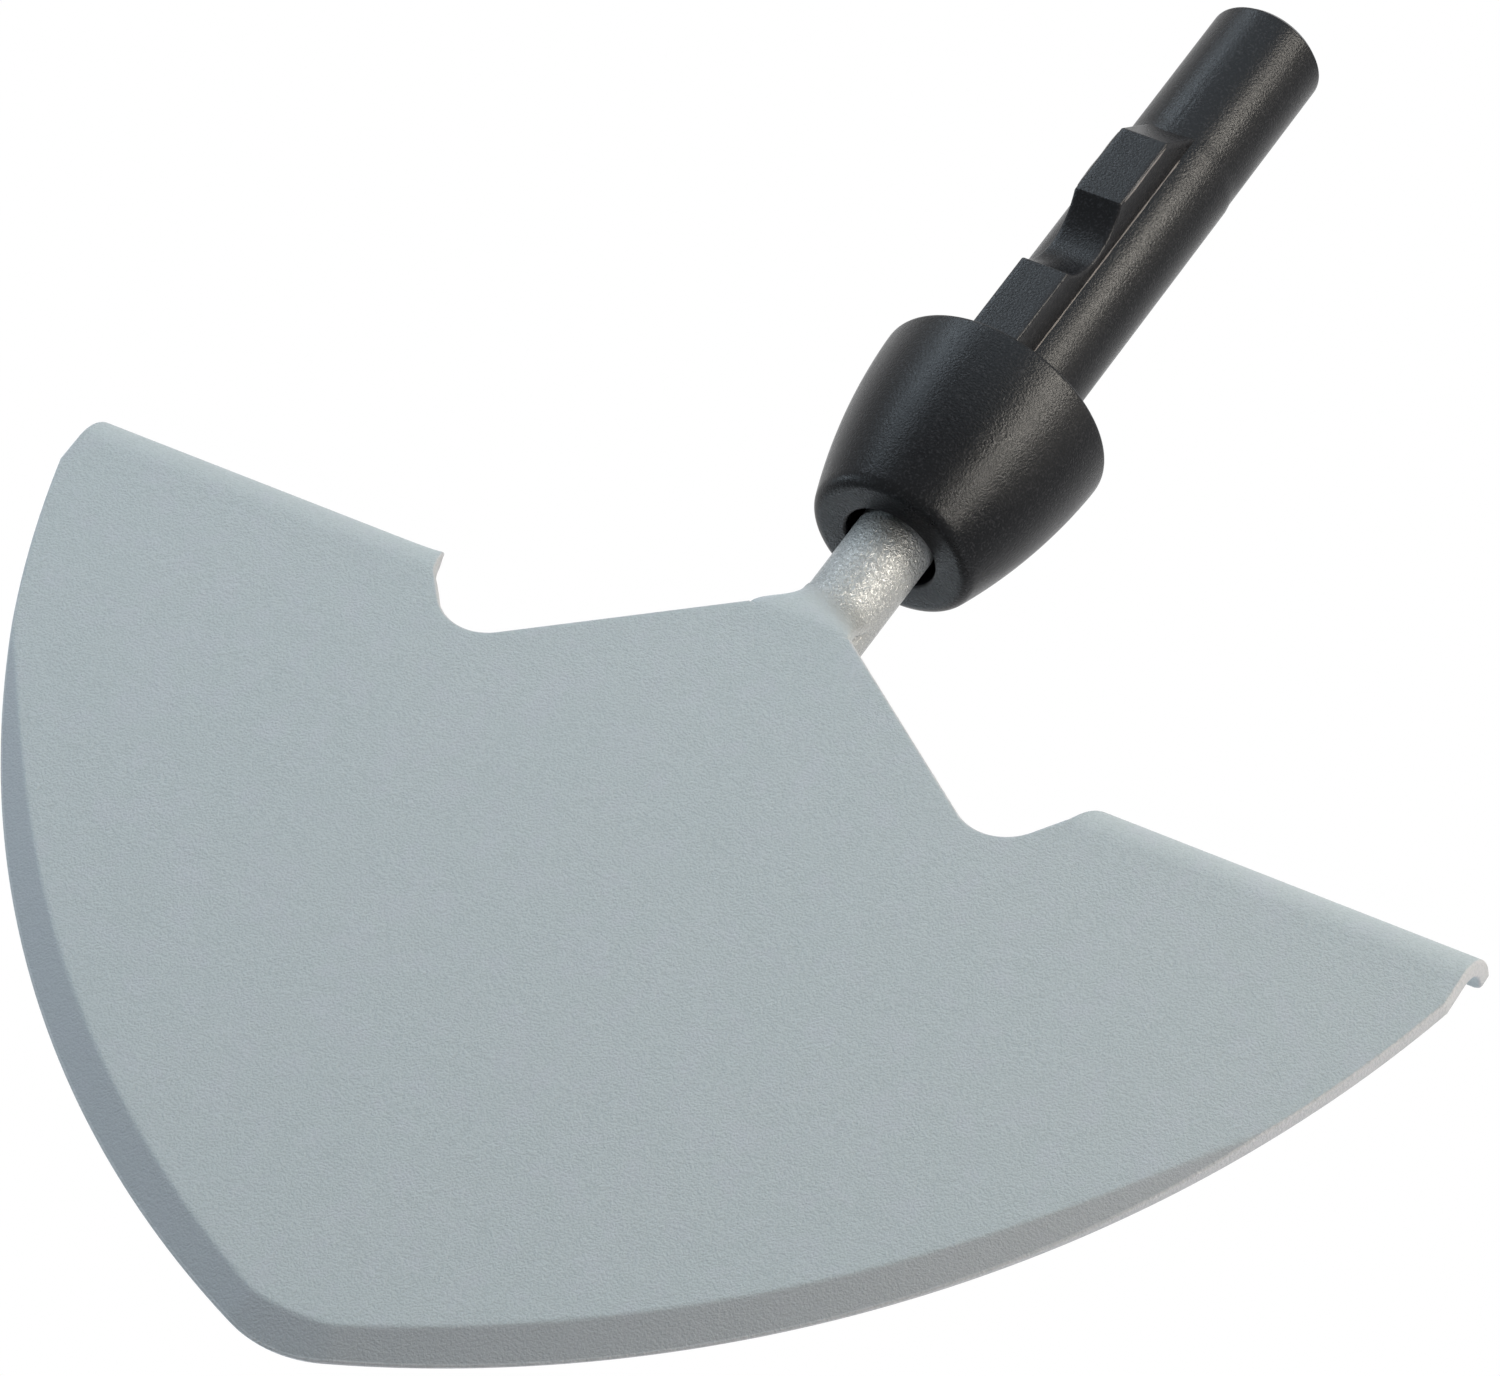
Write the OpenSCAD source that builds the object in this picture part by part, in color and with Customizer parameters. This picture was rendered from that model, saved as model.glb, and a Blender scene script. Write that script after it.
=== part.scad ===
// Half moon edger head: a bevelled sheet blade with two bent foot treads,
// welded to a round tang that carries a barrel collar and a keyed spigot for a push-on handle.
// Z runs up the spigot, the blade's front faces -Y, and the origin is the middle of the
// collar's top face, where the handle stops.

/* [Blade] */
// Width over the treads
blade_width = 225; // [215:1:235]
// Sheet thickness
sheet_t = 2.5; // [2.2:0.1:2.8]
// Depth below the tread line at which the two halves of the edge would meet
blade_depth = 128.1; // [124:0.1:132]
// Drop of the edge's outer ends below the tread line
corner_drop = 10.5; // [9:0.5:13]
// Radius of each half of the cutting edge
edge_radius = 175.5; // [170:0.5:182]
// Rounding of the blade's point
point_radius = 28; // [26:1:34]
// Height that the rounding takes off the point
point_cut = 1.3; // [1:0.1:1.5]
// Backward lean of the blade from the tang, degrees
blade_lean = 1.9; // [0:0.1:2.5]

/* [Bevel] */
// Angle of the ground bevel to the front face, degrees
bevel_angle = 22.6; // [21:0.1:24]
// Radius of the bevel's inner line, each half
bevel_radius = 201.6; // [197:0.1:206]
// Width of the bevel at the blade's point
bevel_width = 4.5; // [4:0.1:4.8]
// Distance of the bevel's outer ends from the blade's sides
bevel_runout = 2.5; // [2:0.1:4]
// Rounding of the bevel's inner line at the point
bevel_point_radius = 36; // [32:1:42]
// Height that this rounding takes off the inner line
bevel_point_cut = 2.1; // [1.8:0.1:2.3]

/* [Neck and notches] */
// Width of the neck's top edge
neck_width = 16.4; // [15:0.2:18]
// Height of the neck's top edge above the tread line
neck_height = 9.5; // [8.5:0.5:10.5]
// Radius of the notch between neck and tread
notch_radius = 8; // [7:0.1:8.6]
// Distance of the notch's centre from the middle
notch_x = 42; // [41:0.5:43]
// Depth of the notch's centre below the tread line
notch_drop = 4.2; // [3.6:0.1:5]

/* [Treads] */
// Outer radius of the tread's bend
tread_radius = 7; // [6:0.1:8]
// Depth of the tread from the blade's front face
tread_depth = 8.4; // [8.2:0.1:10]
// Height of the tread's top above the tread line
tread_rise = 1.2; // [0.6:0.1:2]
// Distance of the tread's inner end from the middle
tread_inner = 55.5; // [54:0.5:60]
// Further reach of the tread's underside at that end
tread_ease = 1.8; // [1:0.1:2.2]
// Radius of the tread's rounded back edge
tread_lip = 1.6; // [1.5:0.1:2]

/* [Tang] */
// Diameter of the tang
tang_d = 12; // [11:0.5:12.5]
// Height of the collar's underside above the tread line
tang_reach = 32.8; // [28:0.1:40]
// Length of the foot behind the blade, below the tread line
tang_foot = 35; // [25:1:45]
// Chamfer at both ends of the tang
tang_chamfer = 1.5; // [0.5:0.1:2]
// Distance of the tang's axis behind the blade's front face
tang_setback = 8.25; // [8:0.05:8.5]
// Distance across the two flats at the tang's upper end
tang_flats = 9.5; // [8:0.1:11]
// Length of the flats
tang_flat_length = 45; // [20:1:60]

/* [Welds] */
// Height of the front weld above the neck
front_weld_height = 7.5; // [6:0.5:9]
// Width of the front weld's upper end on the tang
front_weld_top = 7.6; // [6:0.2:9]
// Depth of the front weld from the blade's front face
front_weld_depth = 4.5; // [4:0.1:5]
// Hollow of the front weld, radius
front_weld_hollow = 9; // [8:0.5:14]
// Hollow of the front weld's sides, radius
side_weld_hollow = 8; // [7:0.5:11]
// Radius of each bead on the back
bead_radius = 2.8; // [2.4:0.1:3.2]
// Distance of each bead's middle from the tang's axis
bead_spread = 6.6; // [6.2:0.1:7]
// Distance of each bead's middle behind the blade
bead_lift = 1.2; // [0.8:0.1:1.6]
// Height of each bead's upper end above the tread line
bead_top = 2; // [0:0.5:4]
// Length of each bead on the back
bead_length = 32; // [15:1:34]

/* [Collar] */
// Height of the collar
collar_height = 29.6; // [28:0.1:34]
// Radius at the collar's top
collar_top_radius = 18.45; // [18:0.05:20]
// Radius of the collar's bulged side
collar_bulge = 93; // [80:1:110]
// Height of the bulge's middle above the collar's top
collar_bulge_rise = 2.6; // [1:0.2:4]
// Rounding of the collar's top edge
collar_edge = 0.8; // [0.4:0.1:1.5]
// Rounding of the collar's lower edge
collar_foot_round = 2.2; // [1.5:0.1:3]
// Diameter of the mouth round the tang
mouth_d = 14.6; // [13.5:0.1:16]
// Thickness of the collar's floor
collar_floor = 6; // [4:0.5:9]

/* [Spigot] */
// Diameter of the spigot
spigot_d = 18.7; // [18:0.1:19.5]
// Amount by which the plain nose above the rib is thinner
nose_relief = 0.4; // [0.4:0.1:1]
// Length of the spigot above the collar
spigot_length = 81.4; // [76:0.1:90]
// Chamfer at the spigot's end
spigot_chamfer = 1.1; // [0.5:0.1:2]
// Depth of the tang's socket above the collar
socket_depth = 40; // [30:1:60]
// Gap between the spigot and the pieces it fits
fit_gap = 0.1; // [0.05:0.05:0.2]

/* [Key rib] */
// Width of the key rib
key_width = 7.8; // [7:0.1:9]
// Distance of the rib's flat top from the axis
key_reach = 14.4; // [13.5:0.1:15]
// Length of the rib's flat top above the collar
key_length = 45.7; // [43:0.1:50]
// Length of the rib's sloped end
key_slope = 7.5; // [5:0.5:9]
// Length of the rib that stands in the collar's slot
key_tail = 8; // [5:0.5:12]
// Depth at which the slope ends inside the spigot's round
key_sink = 0.8; // [0.4:0.1:1]
// Radius of the latch scoop across the rib
scoop_radius = 9.2; // [8:0.1:10]
// Height of the scoop's centre above the collar
scoop_height = 24.4; // [22:0.1:28]
// Depth of the scoop below the rib's top
scoop_depth = 4.1; // [3:0.1:4.6]

/* [Hidden] */
$fn = 96;
// Overrun of cutting shapes past the faces they cut
over = 1;
// Small overlap that lets an arc cross a line it would only touch
graze = 0.1;
// Half width of the zone in which the point is rounded
point_reach = 11;
tread_line = -collar_height - tang_reach;
half_width = blade_width / 2;
bend_drop = tread_radius - tread_rise;
edge_centre = arc_centre([0, -blade_depth], [half_width, -corner_drop], edge_radius);
point_sag = point_radius - sqrt(pow(point_radius, 2) - pow(point_reach, 2));
bevel_run = 1 / tan(bevel_angle);
bevel_foot = [0, bevel_width - blade_depth];
bevel_tip = bevel_foot[1] + bevel_point_cut;
bevel_x = half_width - bevel_runout;
bevel_z = edge_centre[1] - sqrt(pow(edge_radius, 2) - pow(bevel_x - edge_centre[0], 2));
bevel_centre = arc_centre(bevel_foot, [bevel_x, bevel_z], bevel_radius);
notch_centre = [notch_x, -notch_drop];
neck_corner = [neck_width / 2, neck_height];
tread_corner = [tread_inner - tread_ease, tread_rise - sheet_t];
tang_r = tang_d / 2;
tang_top = socket_depth;
tang_bottom = tread_line - tang_foot;
spigot_r = spigot_d / 2;
nose_r = spigot_r - nose_relief / 2;
key_top = key_length + key_slope;
tail_bottom = collar_floor - collar_height;
weld_back = tang_setback - tang_r;
weld_side = (neck_width - front_weld_top) / 2;
front_hollow = arc_centre([0, 0], [weld_back, front_weld_height], front_weld_hollow);
side_hollow = arc_centre([0, 0], [weld_side, front_weld_height], side_weld_hollow);
bulge_offset = sqrt(pow(collar_bulge, 2) - pow(collar_bulge_rise, 2)) - collar_top_radius;
foot_z = collar_foot_round - collar_height;
foot_reach = collar_bulge - collar_foot_round + graze;
foot_x = sqrt(pow(foot_reach, 2) - pow(collar_bulge_rise - foot_z, 2)) - bulge_offset;

// Centre of the arc of a given radius from point a to point b, lying to the left of that way.
function arc_centre(a, b, radius) =
  let (chord = norm(b - a), inset = sqrt(pow(radius, 2) - pow(chord / 2, 2)), way = (b - a) / chord)
    (a + b) / 2 + inset * [-way[1], way[0]];

// Where the line from a point touches the notch's circle, on the left (1) or the right (-1).
function touch_point(from, side) =
  let (reach = from - notch_centre, angle = atan2(reach[1], reach[0]) + side * acos(notch_radius / norm(reach)))
    notch_centre + (notch_radius - graze) * [cos(angle), sin(angle)];

// Places a piece drawn in the blade's own frame: front face at y = 0, tread line at z = 0.
module on_blade() {
  translate([0, -tang_setback, tread_line])
    rotate([blade_lean, 0, 0])
      children();
}

// Extrudes an outline drawn as (x, z) backwards from the front face.
module through(depth) {
  translate([0, depth, 0])
    rotate([90, 0, 0])
      linear_extrude(height = depth)
        children();
}

// Repeats a piece on the left-hand side.
module both_sides() {
  children();
  mirror([1, 0, 0])
    children();
}

// The opening on the right between neck and tread: shoulder, round notch and flared wall.
module notch_outline() {
  translate(notch_centre)
    circle(r = notch_radius);
  polygon([
    touch_point(neck_corner, 1),
    neck_corner,
    [neck_width / 2, neck_height + over],
    [tread_inner, neck_height + over],
    [tread_inner, tread_rise],
    tread_corner,
    touch_point(tread_corner, -1),
    notch_centre
  ]);
}

// The blade seen from the front, before the treads are bent back.
module blade_outline() {
  difference() {
    intersection() {
      translate([-half_width, -blade_depth - over])
        square([blade_width, blade_depth + over + neck_height]);
      translate(edge_centre)
        circle(r = edge_radius);
      translate([-edge_centre[0], edge_centre[1]])
        circle(r = edge_radius);
    }
    difference() {
      translate([-point_reach, -blade_depth - over])
        square([2 * point_reach, over + point_cut + point_sag]);
      translate([0, point_cut + point_radius - blade_depth])
        circle(r = point_radius);
    }
    both_sides()
      notch_outline();
  }
}

// Section of a tread: the sheet bent back through a right angle.
module tread_section() {
  translate([0, -bend_drop - over])
    square([sheet_t, over]);
  intersection() {
    translate([tread_radius, -bend_drop])
      difference() {
        circle(r = tread_radius);
        circle(r = tread_radius - sheet_t);
      }
    translate([0, -bend_drop])
      square([tread_radius, tread_radius]);
  }
  intersection() {
    translate([tread_radius, tread_rise - sheet_t])
      square([tread_depth - tread_radius, sheet_t]);
    translate([tread_depth - tread_lip, tread_rise - sheet_t / 2])
      circle(r = tread_lip);
  }
}

// One cone of the bevel: everything inside it stays on the blade.
module bevel_cone(x, z, radius) {
  translate([x, -over, z])
    rotate([-90, 0, 0])
      cylinder(
        h = tread_depth + 2 * over,
        r1 = radius - bevel_run * over,
        r2 = radius + bevel_run * (tread_depth + over),
        $fn = 180
      );
}

module blade() {
  color([0.66, 0.70, 0.71])
    on_blade()
      intersection() {
        through(tread_depth + over)
          blade_outline();
        union() {
          translate([-half_width, 0, -blade_depth - over])
            cube([blade_width, sheet_t, blade_depth + over - bend_drop]);
          translate([-notch_x, 0, -bend_drop - over])
            cube([2 * notch_x, sheet_t, bend_drop + over + neck_height]);
          both_sides()
            translate([notch_x, 0, 0])
              rotate([90, 0, 90])
                linear_extrude(height = half_width - notch_x)
                  tread_section();
        }
        bevel_cone(bevel_centre[0], bevel_centre[1], bevel_radius);
        bevel_cone(-bevel_centre[0], bevel_centre[1], bevel_radius);
        union() {
          bevel_cone(0, bevel_tip + bevel_point_radius, bevel_point_radius);
          both_sides()
            translate([point_reach, -over, -blade_depth - over])
              cube([blade_width, tread_depth + 2 * over, blade_depth + neck_height + 2 * over]);
          translate([-half_width, -over, bevel_tip + point_reach / 2])
            cube([blade_width, tread_depth + 2 * over, blade_depth + neck_height]);
        }
      }
}

// The round bar, used again to cut the pieces that fit against it.
module tang_bar() {
  translate([0, 0, tang_bottom])
    cylinder(h = tang_top - tang_bottom, r = tang_r);
}

module tang() {
  color([0.70, 0.71, 0.70])
    difference() {
      union() {
        translate([0, 0, tang_bottom + tang_chamfer])
          cylinder(h = tang_top - tang_bottom - 2 * tang_chamfer, r = tang_r);
        translate([0, 0, tang_bottom])
          cylinder(h = tang_chamfer, r1 = tang_r - tang_chamfer, r2 = tang_r);
        translate([0, 0, tang_top - tang_chamfer])
          cylinder(h = tang_chamfer, r1 = tang_r, r2 = tang_r - tang_chamfer);
      }
      on_blade()
        translate([-half_width, sheet_t - tang_d, -blade_depth])
          cube([blade_width, tang_d, blade_depth + neck_height]);
      both_sides()
        translate([tang_flats / 2, -tang_d, tang_top - tang_flat_length])
          cube([tang_d, 2 * tang_d, tang_flat_length + over]);
    }
}

module front_weld() {
  color([0.68, 0.71, 0.72])
    difference() {
      on_blade()
        difference() {
          translate([-neck_width / 2, 0, neck_height])
            cube([neck_width, front_weld_depth, front_weld_height]);
          translate([-neck_width, front_hollow[0], neck_height + front_hollow[1]])
            rotate([0, 90, 0])
              cylinder(h = 2 * neck_width, r = front_weld_hollow);
          both_sides()
            translate([neck_width / 2 - side_hollow[0], -over, neck_height + side_hollow[1]])
              rotate([-90, 0, 0])
                cylinder(h = front_weld_depth + 2 * over, r = side_weld_hollow);
        }
      tang_bar();
    }
}

// One bead along the seam between the tang's foot and the blade's back.
module back_bead() {
  difference() {
    on_blade()
      intersection() {
        translate([bead_spread, sheet_t + bead_lift, bead_top - bead_length])
          union() {
            cylinder(h = bead_length, r = bead_radius);
            sphere(r = bead_radius);
            translate([0, 0, bead_length])
              sphere(r = bead_radius);
          }
        translate([0, sheet_t, -blade_depth])
          cube([half_width, tang_d, 2 * blade_depth]);
      }
    tang_bar();
  }
}

module right_weld() {
  color([0.62, 0.64, 0.65])
    back_bead();
}

module left_weld() {
  color([0.62, 0.64, 0.65])
    mirror([1, 0, 0])
      back_bead();
}

// Half section of the collar: bulged side, rounded lower edge and eased top edge.
module collar_section() {
  intersection() {
    translate([-bulge_offset, collar_bulge_rise])
      circle(r = collar_bulge, $fn = 180);
    union() {
      translate([0, foot_z])
        polygon([
          [0, 0],
          [2 * collar_top_radius, 0],
          [collar_top_radius, -foot_z - collar_edge],
          [collar_top_radius - collar_edge, -foot_z],
          [0, -foot_z]
        ]);
      translate([0, -collar_height])
        square([foot_x, collar_foot_round]);
      translate([foot_x, foot_z])
        circle(r = collar_foot_round);
    }
  }
}

module collar() {
  color([0.09, 0.09, 0.10])
    difference() {
      rotate_extrude()
        collar_section();
      translate([0, 0, tail_bottom])
        cylinder(h = collar_height, r = spigot_r + fit_gap);
      translate([0, 0, -collar_height - over])
        cylinder(h = collar_height, d = mouth_d);
      translate([-key_width / 2 - fit_gap, -key_reach - fit_gap, -key_tail - fit_gap])
        cube([key_width + 2 * fit_gap, key_reach, key_tail + over]);
    }
}

// The key rib's side view as (y, z), before the scoop is cut.
module key_side() {
  polygon([
    [0, -key_tail],
    [-key_reach, -key_tail],
    [-key_reach, key_length],
    [key_sink - spigot_r, key_top],
    [0, key_top]
  ]);
}

// The hole for the tang: round below, with two flats above.
module socket() {
  intersection() {
    translate([0, 0, tail_bottom - over])
      cylinder(h = tang_top - tail_bottom + over, r = tang_r + fit_gap);
    union() {
      translate([-tang_flats / 2 - fit_gap, -tang_d, tail_bottom - over])
        cube([tang_flats + 2 * fit_gap, 2 * tang_d, tang_top - tail_bottom + over]);
      translate([-tang_d, -tang_d, tail_bottom - over])
        cube([2 * tang_d, 2 * tang_d, tang_top - tang_flat_length - tail_bottom + over - fit_gap]);
    }
  }
}

module spigot() {
  color([0.10, 0.10, 0.11])
    difference() {
      union() {
        translate([0, 0, tail_bottom])
          cylinder(h = key_top - tail_bottom, r = spigot_r);
        translate([0, 0, key_top - over])
          cylinder(h = spigot_length - spigot_chamfer - key_top + over, r = nose_r);
        translate([0, 0, spigot_length - spigot_chamfer])
          cylinder(h = spigot_chamfer, r1 = nose_r, r2 = nose_r - spigot_chamfer);
        translate([-key_width / 2, 0, 0])
          rotate([90, 0, 90])
            linear_extrude(height = key_width)
              key_side();
      }
      translate([-key_width, -key_reach + scoop_depth - scoop_radius, scoop_height])
        rotate([0, 90, 0])
          cylinder(h = 2 * key_width, r = scoop_radius);
      socket();
    }
}

blade();
tang();
front_weld();
left_weld();
right_weld();
collar();
spigot();
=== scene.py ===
"""Looks of a half moon edger head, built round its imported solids."""

import math

import bpy
import numpy as np
from bpy.props import FloatProperty, FloatVectorProperty, PointerProperty
from bpy.types import Operator, Panel, PropertyGroup
from mathutils import Matrix, Vector


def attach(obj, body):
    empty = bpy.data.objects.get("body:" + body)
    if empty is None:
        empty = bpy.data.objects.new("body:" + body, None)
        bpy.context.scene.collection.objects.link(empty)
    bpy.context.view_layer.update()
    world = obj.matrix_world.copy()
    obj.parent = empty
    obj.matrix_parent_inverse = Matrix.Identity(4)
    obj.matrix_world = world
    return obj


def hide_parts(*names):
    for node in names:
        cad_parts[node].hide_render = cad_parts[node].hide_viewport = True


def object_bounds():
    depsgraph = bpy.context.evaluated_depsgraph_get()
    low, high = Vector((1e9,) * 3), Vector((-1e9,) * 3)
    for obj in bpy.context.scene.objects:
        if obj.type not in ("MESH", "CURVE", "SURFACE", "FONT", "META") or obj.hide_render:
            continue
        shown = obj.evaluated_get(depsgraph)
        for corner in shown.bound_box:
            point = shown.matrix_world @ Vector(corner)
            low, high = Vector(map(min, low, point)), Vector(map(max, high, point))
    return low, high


bl_info = {
    "name": "Half Moon Edger Head",
    "version": (1, 0, 0),
    "blender": (4, 5, 0),
    "location": "View3D > Sidebar > Edger",
    "description": "Builds the surfaces, finishes and stage of a half moon edger head",
    "category": "Object",
}

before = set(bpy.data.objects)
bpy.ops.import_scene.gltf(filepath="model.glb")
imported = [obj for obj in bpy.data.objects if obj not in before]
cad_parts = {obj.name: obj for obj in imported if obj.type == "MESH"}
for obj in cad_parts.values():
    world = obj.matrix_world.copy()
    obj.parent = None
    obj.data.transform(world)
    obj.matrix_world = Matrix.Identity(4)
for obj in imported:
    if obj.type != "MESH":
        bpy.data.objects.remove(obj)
CAD_BOX = [[float(c) for c in corner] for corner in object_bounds()]
MM = 0.001
TURN = 2 * math.pi
JOIN = 0.0005 * MM  # points nearer than this are one point
SHARP = math.radians(38)  # edges that turn more than this shade as edges


def length(label, words, value):
    """A length property in metres, given in millimetres."""
    return FloatProperty(name=label, description=words, default=value * MM, unit="LENGTH", precision=5)


def colour(label, words, value):
    """A linear colour property."""
    return FloatVectorProperty(
        name=label, description=words, default=value, subtype="COLOR", size=3, min=0.0, max=1.0
    )


class EdgerSizes(PropertyGroup):
    """Sizes that the surfaces share with the solids."""

    blade_width: length("Blade width", "Width over the treads", 225.0)
    sheet: length("Sheet", "Thickness of the blade", 2.5)
    blade_depth: length("Blade depth", "Depth at which the two halves of the edge would meet", 128.1)
    corner_drop: length("Corner drop", "Drop of the edge's outer ends below the tread line", 10.5)
    edge_radius: length("Edge radius", "Radius of each half of the cutting edge", 175.5)
    point_radius: length("Point radius", "Rounding of the blade's point", 20.7)
    bevel_radius: length("Bevel radius", "Radius of the bevel's inner line", 201.6)
    bevel_width: length("Bevel width", "Width of the bevel at the point", 4.5)
    bevel_runout: length("Bevel run-out", "Distance of the bevel's ends from the sides", 2.5)
    bevel_point_radius: length("Bevel point radius", "Rounding of the bevel's inner line", 36.0)
    bevel_point_cut: length("Bevel point cut", "Height that this rounding takes off", 2.1)
    bevel_turn: length("Bevel turn", "Distance from the middle where the bevel's inner line turns out", 78.0)
    bevel_turn_length: length("Bevel turn length", "Length over which it turns out by a millimetre", 20.5)
    bevel_softness: length("Bevel softness", "Rounding of the bevel's ridge under the coat", 0.07)
    neck_width: length("Neck width", "Width of the neck's top edge", 16.4)
    neck_height: length("Neck height", "Height of the neck above the tread line", 9.5)
    notch_radius: length("Notch radius", "Radius of the notch beside the neck", 8.0)
    notch_x: length("Notch distance", "Distance of the notch from the middle", 42.0)
    notch_drop: length("Notch drop", "Depth of the notch's centre below the tread line", 4.2)
    tread_radius: length("Tread radius", "Outer radius of the tread's bend", 7.0)
    tread_depth: length("Tread depth", "Depth of the tread from the front face", 8.4)
    tread_rise: length("Tread rise", "Height of the tread above the tread line", 1.2)
    tread_inner: length("Tread inner end", "Distance of the tread's inner end from the middle", 53.4)
    tread_ease: length("Tread ease", "Distance by which the inner end leans outwards", 1.8)
    tread_cut: length("Tread cut", "Distance over which the inner end's back corner is cut away", 8.6)
    tread_lift: length("Tread lift", "Height by which the left inner corner stands up", 0.45)
    rim_radius: length("Rim radius", "Rounding of the sheet's cut edges under the coat", 0.38)
    tread_line: length("Tread line", "Height of the tread line", -62.4)
    setback: length("Setback", "Distance of the tang's axis behind the front face", 8.25)
    tang_radius: length("Tang radius", "Radius of the tang", 6.0)
    tang_foot: length("Tang foot", "Length of the tang below the tread line", 35.0)
    tang_top: length("Tang top", "Height of the tang's upper end", 40.0)
    tang_chamfer: length("Tang chamfer", "Chamfer at the tang's ends", 1.5)
    tang_flats: length("Tang flats", "Distance across the flats in the socket", 9.5)
    tang_flat_length: length("Tang flat length", "Length of the flats", 45.0)
    weld_height: length("Weld height", "Height of the neck weld's fillet", 9.0)
    weld_feather: length("Weld feather", "Length over which the neck weld runs out on the blade", 5.0)
    bead_radius: length("Bead radius", "Radius of the beads on the back", 2.8)
    bead_spread: length("Bead spread", "Distance of each bead from the tang's axis", 6.6)
    bead_lift: length("Bead lift", "Distance of each bead behind the blade", 1.2)
    bead_length: length("Bead length", "Length of each bead", 32.0)
    bead_top: length("Bead top", "Height of each bead's upper end", 2.0)
    bead_pitch: length("Bead pitch", "Distance between the ripples of a bead", 1.9)
    collar_height: length("Collar height", "Height of the collar", 29.6)
    collar_radius: length("Collar radius", "Radius of the collar's top", 18.45)
    collar_bulge: length("Collar bulge", "Radius of the collar's bulged side", 93.0)
    collar_rise: length("Collar bulge rise", "Height of the bulge's middle", 2.6)
    collar_edge: length("Collar edge", "Rounding of the collar's top edge", 0.8)
    collar_foot: length("Collar foot", "Rounding of the collar's lower edge", 2.2)
    collar_floor: length("Collar floor", "Thickness of the collar's floor", 6.0)
    mouth_radius: length("Mouth radius", "Radius of the mouth round the tang", 7.3)
    spigot_radius: length("Spigot radius", "Radius of the spigot beside the rib", 9.35)
    nose_radius: length("Nose radius", "Radius of the spigot's nose", 9.15)
    spigot_length: length("Spigot length", "Length of the spigot above the collar", 81.4)
    socket_top: length("Socket top", "Height of the socket's upper end", 40.4)
    socket_gap: length("Socket gap", "Clearance between the tang and its socket", 0.1)
    spigot_edge: length("Spigot edge", "Chamfer of the spigot's end", 1.1)
    spigot_ease: length("Spigot ease", "Rounding of the chamfer's two edges", 0.2)
    parting_depth: length("Parting depth", "Depth of the mould's parting line on the nose", 0.05)
    parting_length: length("Parting length", "Length over which this line fades out", 20.0)
    key_width: length("Key width", "Width of the key rib", 7.8)
    key_reach: length("Key reach", "Distance of the rib's top from the axis", 14.4)
    key_length: length("Key length", "Length of the rib's flat top", 45.7)
    key_slope: length("Key slope", "Length of the rib's sloped end", 7.5)
    scoop_radius: length("Scoop radius", "Radius of the latch scoop", 9.2)
    scoop_height: length("Scoop height", "Height of the scoop's centre", 24.4)
    scoop_depth: length("Scoop depth", "Depth of the scoop", 4.1)
    flash: length("Flash", "Width of the mould flash on the rib", 0.40)
    lean: FloatProperty(
        name="Lean",
        description="Backward lean of the blade",
        default=math.radians(1.9),
        subtype="ANGLE",
        unit="ROTATION",
    )
    bevel_angle: FloatProperty(
        name="Bevel angle",
        description="Angle of the bevel to the front face",
        default=math.radians(22.6),
        subtype="ANGLE",
        unit="ROTATION",
    )


class EdgerColours(PropertyGroup):
    """Colours of the finishes and the stage."""

    coat: colour("Coat", "Grey powder coat", (0.384, 0.424, 0.437))
    # Painted shade: the coat is drawn darker in the hollows of its grain.
    coat_hollow_shade: colour("Coat hollows", "Coat in the hollows of the wrinkle", (0.346, 0.385, 0.398))
    # Painted edge highlight, with the coat wearing thin: cut edges are drawn paler.
    coat_edge_highlight_and_wear: colour("Coat edges", "Coat thinned over cut edges", (0.445, 0.442, 0.460))
    coat_cast: colour("Coat tint", "Faint tint in patches of the coat", (0.400, 0.412, 0.458))
    # Painted shade: the bevel, which turns away from the lamps, is drawn darker.
    bevel_painted_shade: colour("Bevel coat", "Thin coat on the ground bevel", (0.310, 0.320, 0.342))
    # Partly painted shade: the bar is darker for its own finish and for the collar's shade on it.
    tang_coat_and_shade: colour("Tang coat", "Coat on the bar", (0.298, 0.306, 0.305))
    plastic: colour("Plastic", "Black moulded plastic", (0.0022, 0.0023, 0.0030))
    plastic_fleck: colour("Plastic fleck", "Pale flecks in the plastic", (0.028, 0.028, 0.031))
    # Painted highlight: pale flash that draws bright lines along the rib's edges.
    flash: colour("Flash", "Rubbed mould flash", (0.160, 0.146, 0.140))
    floor: colour("Floor", "Pale studio floor", (0.86, 0.86, 0.86))


class Value:
    """A shader socket; arithmetic on it adds Math nodes to its finish."""

    def __init__(self, finish, socket):
        self.finish = finish
        self.socket = socket

    def maths(self, operation, first, second):
        return self.finish.node("ShaderNodeMath", {"operation": operation}, {0: first, 1: second})

    def __add__(self, other):
        return self.maths("ADD", self, other)

    def __radd__(self, other):
        return self.maths("ADD", other, self)

    def __sub__(self, other):
        return self.maths("SUBTRACT", self, other)

    def __rsub__(self, other):
        return self.maths("SUBTRACT", other, self)

    def __mul__(self, other):
        return self.maths("MULTIPLY", self, other)

    def __rmul__(self, other):
        return self.maths("MULTIPLY", other, self)

    def most(self, other):
        return self.maths("MAXIMUM", self, other)


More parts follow.
